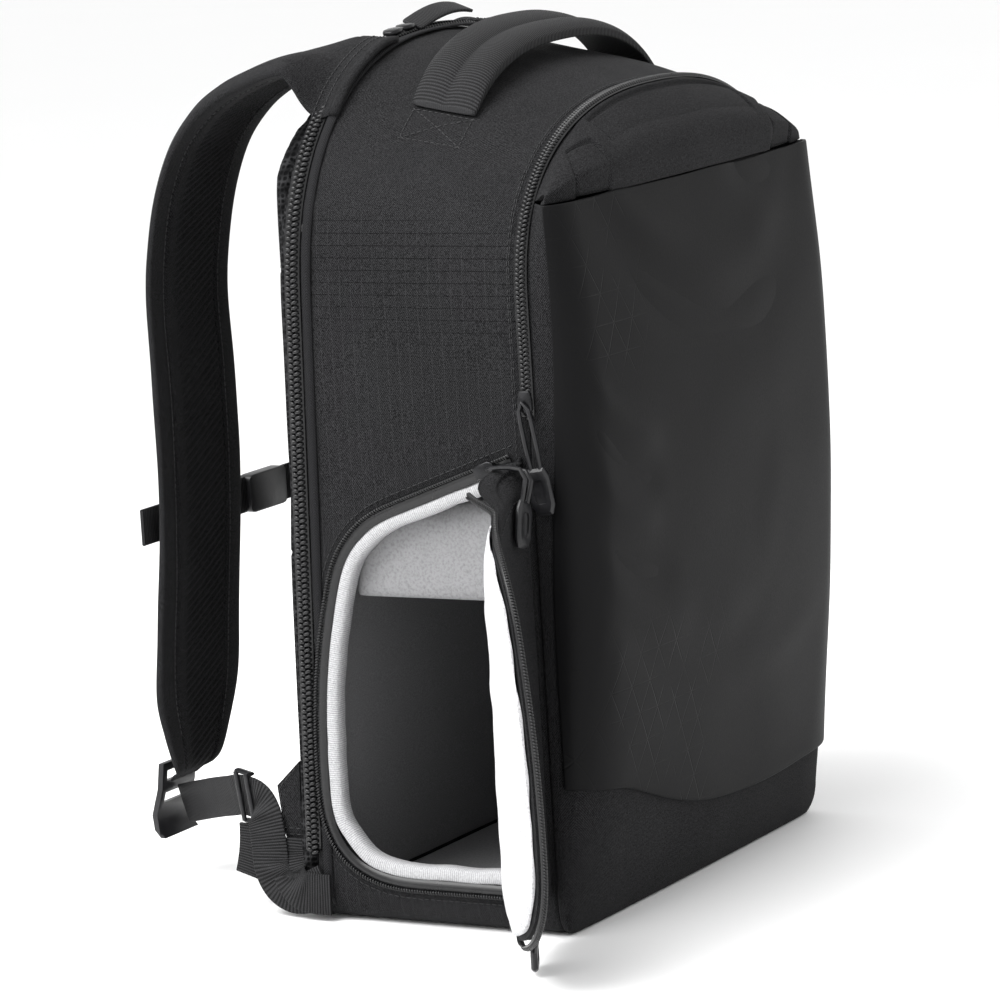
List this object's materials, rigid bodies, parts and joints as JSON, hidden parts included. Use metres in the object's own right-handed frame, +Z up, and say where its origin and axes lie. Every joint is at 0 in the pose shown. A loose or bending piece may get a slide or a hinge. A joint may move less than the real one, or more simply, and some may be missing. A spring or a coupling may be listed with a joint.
{
  "type": "camera backpack",
  "caption": "Upright soft backpack with a padded lower bay behind an open side door, a front pocket, a carry handle and padded shoulder straps.",
  "frame": {"origin": "middle of the base, on the surface that the pack stands on", "axes": "+Z up, front of the pack towards -Y, back panel and harness towards +Y, side door towards -X"},
  "size_m": [0.3766, 0.3093, 0.4252],
  "materials": {
    "twill": "matte twill",
    "coated": "smooth coated cloth",
    "mesh": "air mesh",
    "webbing": "ribbed webbing",
    "coil": "coil zip",
    "lining": "soft pale lining",
    "plastic": "moulded, satin",
    "metal": "black coated"
  },
  "bodies": {
    "root": {"main_shell": "twill", "back_panel": "twill", "front_pocket": "twill", "front_panel": "coated", "front_lid": "twill", "front_zip": "coil", "back_zip": "coil", "opening_zip": "coil", "opening_binding": "lining", "door_flap": "twill", "door_lining": "lining", "door_zip": "coil", "divider": "lining", "grab_handle": "webbing", "sternum_buckle": "plastic", "back_pad_upper_left": "mesh", "back_pad_lower_left": "mesh", "shoulder_strap_left": "twill", "strap_buckle_left": "plastic", "strap_wing_left": "twill", "lower_webbing_left": "webbing", "webbing_adjuster_left": "plastic", "webbing_tail_left": "webbing", "sternum_strap_left": "webbing", "sternum_slider_left": "plastic", "back_pad_upper_right": "mesh", "back_pad_lower_right": "mesh", "shoulder_strap_right": "twill", "strap_buckle_right": "plastic", "strap_wing_right": "twill", "lower_webbing_right": "webbing", "webbing_adjuster_right": "plastic", "webbing_tail_right": "webbing", "sternum_strap_right": "webbing", "sternum_slider_right": "plastic", "front_zip_slider": "metal", "front_zip_puller": "plastic", "door_zip_slider": "metal", "door_zip_puller": "plastic", "door_foot_slider": "metal", "door_foot_puller": "plastic", "back_zip_slider_left": "metal", "back_zip_slider_right": "metal", "back_zip_ribbon": "webbing"}
  },
  "joints": []
}
